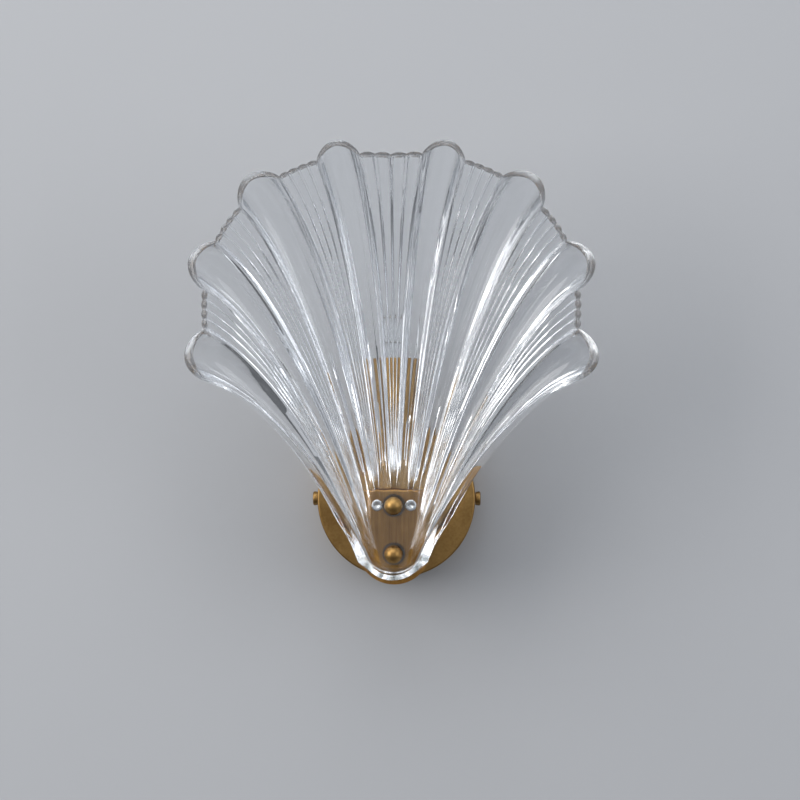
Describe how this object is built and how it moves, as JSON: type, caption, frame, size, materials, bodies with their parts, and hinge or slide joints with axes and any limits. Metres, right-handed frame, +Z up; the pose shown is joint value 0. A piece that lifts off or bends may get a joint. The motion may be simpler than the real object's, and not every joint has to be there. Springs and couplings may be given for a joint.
{
  "type": "shell wall sconce",
  "caption": "Wall sconce with a fluted clear glass shell held by ball nuts on a brass bracket, a round canopy, and a cup with a capsule bulb behind the glass.",
  "frame": {"origin": "centre of the canopy on the wall plane", "axes": "+X to the right as seen from the room, +Y into the wall, +Z up"},
  "size_m": [0.253, 0.1214, 0.2727],
  "materials": {
    "aged_brass": "satin, aged",
    "clear_glass": "pressed, polished",
    "bulb_quartz": "clear",
    "zinc_steel": "zinc plated",
    "bright_steel": "bright",
    "copper_brass": "bright",
    "ceramic_white": "unglazed ceramic",
    "block_white": "moulded",
    "clear_washer": "clear",
    "black_rubber": "matte",
    "wire_sleeve": "glass-fibre sleeve",
    "filament_wire": "drawn"
  },
  "bodies": {
    "root": {"canopy": "aged_brass", "wall_crossbar": "zinc_steel", "earth_washer": "copper_brass", "earth_screw": "copper_brass", "terminal_block": "block_white", "terminal_screws": "bright_steel", "post": "aged_brass", "post_nipple": "zinc_steel", "post_nut": "zinc_steel", "wire_grommet": "black_rubber", "shell_bracket": "aged_brass", "bracket_screws": "bright_steel", "upper_stud": "bright_steel", "lower_stud": "bright_steel", "stud_nut": "aged_brass", "rear_gaskets": "clear_washer", "glass_bushes": "clear_washer", "front_washers": "clear_washer", "glass_shell": "clear_glass", "lamp_cup": "aged_brass", "lamp_stem": "zinc_steel", "stem_nut": "zinc_steel", "socket_bridge": "zinc_steel", "lamp_socket": "ceramic_white", "socket_screws": "bright_steel", "socket_contacts": "copper_brass", "lamp_wires": "wire_sleeve"},
    "upper_ball": {"upper_ball_nut": "aged_brass"},
    "lower_ball": {"lower_ball_nut": "aged_brass"},
    "left_thumb": {"left_thumb_screw": "aged_brass"},
    "right_thumb": {"right_thumb_screw": "aged_brass"},
    "bulb": {"bulb_glass": "bulb_quartz", "bulb_pins": "bright_steel", "bulb_filament": "filament_wire"}
  },
  "joints": [
    {"name": "upper_ball_turn", "type": "hinge", "parent": "root", "child": "upper_ball", "pos_m": [0, -0.0768, -0.0025], "axis": [0, -1, 0], "continuous": true},
    {"name": "lower_ball_turn", "type": "hinge", "parent": "root", "child": "lower_ball", "pos_m": [0, -0.0768, -0.0325], "axis": [0, -1, 0], "continuous": true},
    {"name": "left_thumb_turn", "type": "hinge", "parent": "root", "child": "left_thumb", "pos_m": [-0.05, -0.013, 0], "axis": [-1, 0, 0], "continuous": true},
    {"name": "right_thumb_turn", "type": "hinge", "parent": "root", "child": "right_thumb", "pos_m": [0.05, -0.013, 0], "axis": [1, 0, 0], "continuous": true},
    {"name": "bulb_pull", "type": "slide", "parent": "root", "child": "bulb", "axis": [0, 0, 1], "range_m": [0, 0.022]}
  ]
}
